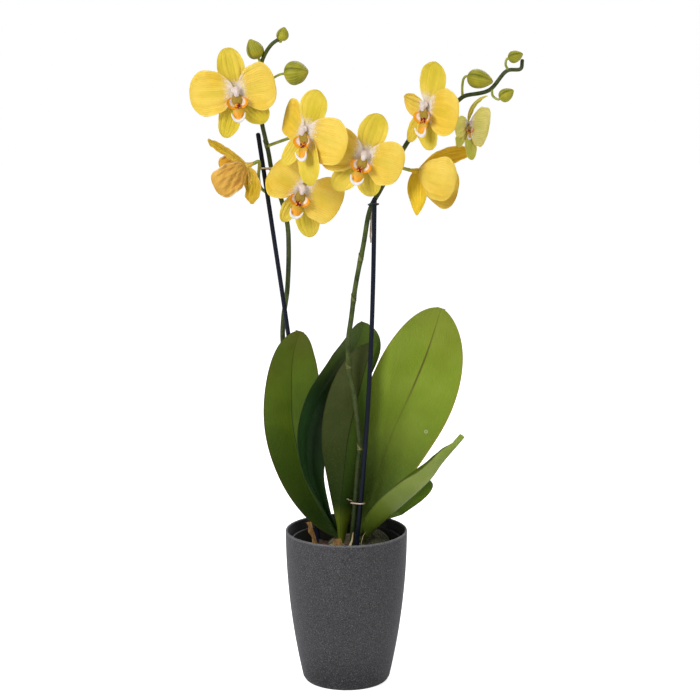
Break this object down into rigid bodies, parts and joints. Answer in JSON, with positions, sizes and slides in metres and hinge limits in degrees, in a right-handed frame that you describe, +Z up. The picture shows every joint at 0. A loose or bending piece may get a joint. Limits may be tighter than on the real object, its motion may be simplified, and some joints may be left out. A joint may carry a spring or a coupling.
{
  "type": "potted orchid",
  "caption": "Moth orchid in flower, its arching flower spikes tied to support sticks, rooted in bark in a nursery pot inside a tall round cover pot.",
  "frame": {"origin": "centre of the cover pot's flat underside", "axes": "+Z up along the pot's axis, -Y the way the blooms face, +X to the right seen from the front"},
  "size_m": [0.3255, 0.1289, 0.668],
  "materials": {
    "cover_pot": "matt, fine speckle",
    "nursery_pot": "semi-clear, satin",
    "stick": "satin coating",
    "leaf": "waxy leaf, satin",
    "leaf_back": "waxy leaf underside, satin",
    "dried_sheath": "dry, papery",
    "root": "root skin, matt",
    "bark": "rough",
    "tie": "paper-covered wire, matt",
    "tepal": "petal, soft matt",
    "lip": "petal, soft matt",
    "stem": "green stem, satin"
  },
  "bodies": {
    "root": {"cover_pot": "cover_pot", "nursery_pot": "nursery_pot", "stick_left": "stick", "stick_right": "stick", "leaf_left_outer": "leaf", "leaf_left_inner": "leaf", "leaf_centre": "leaf_back", "leaf_right_back": "leaf", "leaf_right_front": "leaf", "leaf_right_low": "leaf", "dried_sheath_left": "dried_sheath", "dried_sheath_front": "dried_sheath", "crown_and_roots": "root", "bark": "bark", "tie_low": "tie", "tie_middle": "tie", "tie_left": "tie", "bloom_1_tepals": "tepal", "bloom_1_lip": "lip", "bloom_2_tepals": "tepal", "bloom_2_lip": "lip", "bloom_3_tepals": "tepal", "bloom_3_lip": "lip", "bloom_4_tepals": "tepal", "bloom_4_lip": "lip", "bloom_5_tepals": "tepal", "bloom_5_lip": "lip", "bloom_6_tepals": "tepal", "bloom_6_lip": "lip", "bloom_7_tepals": "tepal", "bloom_7_lip": "lip", "bloom_8_tepals": "tepal", "bloom_8_lip": "lip", "spike_left": "stem", "spike_right": "stem"}
  },
  "joints": []
}
